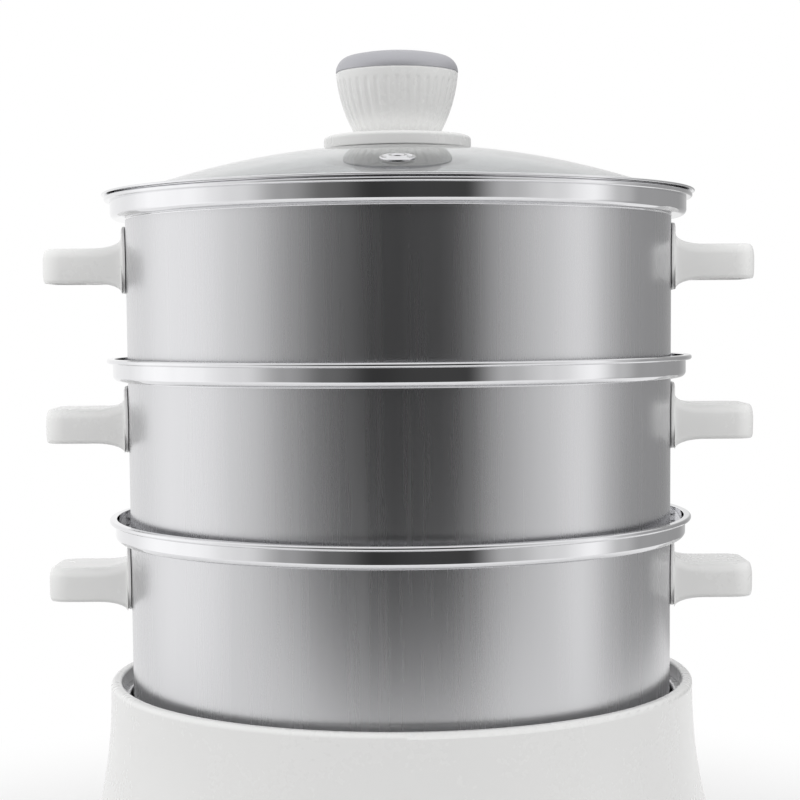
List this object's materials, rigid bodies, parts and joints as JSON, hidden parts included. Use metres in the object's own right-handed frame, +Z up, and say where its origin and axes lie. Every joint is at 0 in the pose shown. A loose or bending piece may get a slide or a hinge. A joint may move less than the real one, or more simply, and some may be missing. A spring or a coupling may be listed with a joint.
{
  "type": "electric food steamer",
  "caption": "Free-standing electric food steamer: stacked steel pot and steaming tiers with ear handles on a white bell-shaped heater base, under a domed glass lid with a knob.",
  "frame": {"origin": "middle of the circle of feet, on the table", "axes": "+Z up along the axis of the stack; -Y is the front, with the control knob; the ear handles stand out along X"},
  "size_m": [0.359, 0.3549, 0.4452],
  "materials": {
    "satin_steel": "satin-polished stainless steel",
    "polished_steel": "mirror-polished stainless steel",
    "white_plastic": "moulded, gloss",
    "silver_cap": "satin silver-grey paint on plastic",
    "tempered_glass": "clear, faintly grey",
    "silicone": "matte silicone",
    "black_rubber": "matte",
    "cast_aluminium": "cast, lightly machined",
    "plated_steel": "zinc plated",
    "brass": "plain",
    "ceramic": "unglazed",
    "black_plastic": "moulded, matte",
    "grey_plastic": "moulded, matte",
    "lens": "clear tinted, gloss",
    "lead_sheath": "silicone-insulated wire"
  },
  "bodies": {
    "base": {"base_housing": "white_plastic", "base_cover": "black_plastic", "cover_screws": "plated_steel", "rubber_feet": "black_rubber", "well_liner": "satin_steel", "heating_plate": "cast_aluminium", "heating_element": "plated_steel", "element_bushes": "ceramic", "plate_spacers": "plated_steel", "plate_screws": "plated_steel", "sensor_holder": "plated_steel", "holder_screws": "plated_steel", "sensor_spring": "plated_steel", "thermal_cutout": "plated_steel", "switch_body": "black_plastic", "switch_nut": "plated_steel", "dial_plate": "silver_cap", "indicator_lens": "lens", "indicator_lamp": "lens", "power_inlet": "black_plastic", "inlet_pins": "brass", "terminal_block": "grey_plastic", "terminal_screws": "plated_steel", "internal_leads": "lead_sheath"},
    "control_knob": {"control_knob": "white_plastic", "control_knob_cap": "silver_cap", "switch_shaft": "plated_steel"},
    "sensor": {"sensor_cap": "cast_aluminium", "sensor_clip": "plated_steel"},
    "pot": {"pot_shell": "satin_steel", "pot_handle_right": "white_plastic", "pot_handle_left": "white_plastic", "pot_handle_brackets": "plated_steel", "pot_handle_screws": "plated_steel"},
    "middle_tier": {"middle_tier_shell": "satin_steel", "middle_tier_handle_right": "white_plastic", "middle_tier_handle_left": "white_plastic", "middle_tier_handle_brackets": "plated_steel", "middle_tier_handle_screws": "plated_steel"},
    "top_tier": {"top_tier_shell": "satin_steel", "top_tier_handle_right": "white_plastic", "top_tier_handle_left": "white_plastic", "top_tier_handle_brackets": "plated_steel", "top_tier_handle_screws": "plated_steel"},
    "lid": {"lid_glass": "tempered_glass", "lid_rim": "polished_steel", "lid_vent_eyelet": "polished_steel", "lid_flange": "white_plastic", "lid_washer": "silicone", "lid_retainer": "black_plastic", "lid_screw": "plated_steel", "lid_knob": "white_plastic", "lid_knob_cap": "silver_cap"}
  },
  "joints": [
    {"name": "pot_lift", "type": "slide", "parent": "base", "child": "pot", "axis": [0, 0, 1], "range_m": [0, 0.12]},
    {"name": "middle_tier_lift", "type": "slide", "parent": "pot", "child": "middle_tier", "axis": [0, 0, 1], "range_m": [0, 0.1]},
    {"name": "top_tier_lift", "type": "slide", "parent": "middle_tier", "child": "top_tier", "axis": [0, 0, 1], "range_m": [0, 0.1]},
    {"name": "lid_lift", "type": "slide", "parent": "top_tier", "child": "lid", "axis": [0, 0, 1], "range_m": [0, 0.1]},
    {"name": "control_knob_turn", "type": "hinge", "parent": "base", "child": "control_knob", "pos_m": [0, -0.16033, 0.058], "axis": [0, 0.9666, -0.2565], "range_deg": [0, 270]},
    {"name": "sensor_press", "type": "slide", "parent": "base", "child": "sensor", "axis": [0, 0, 1], "range_m": [-0.003, 0], "stiffness_N_per_m": 450, "springref_m": 0.003, "deforming": ["sensor_spring"]}
  ]
}
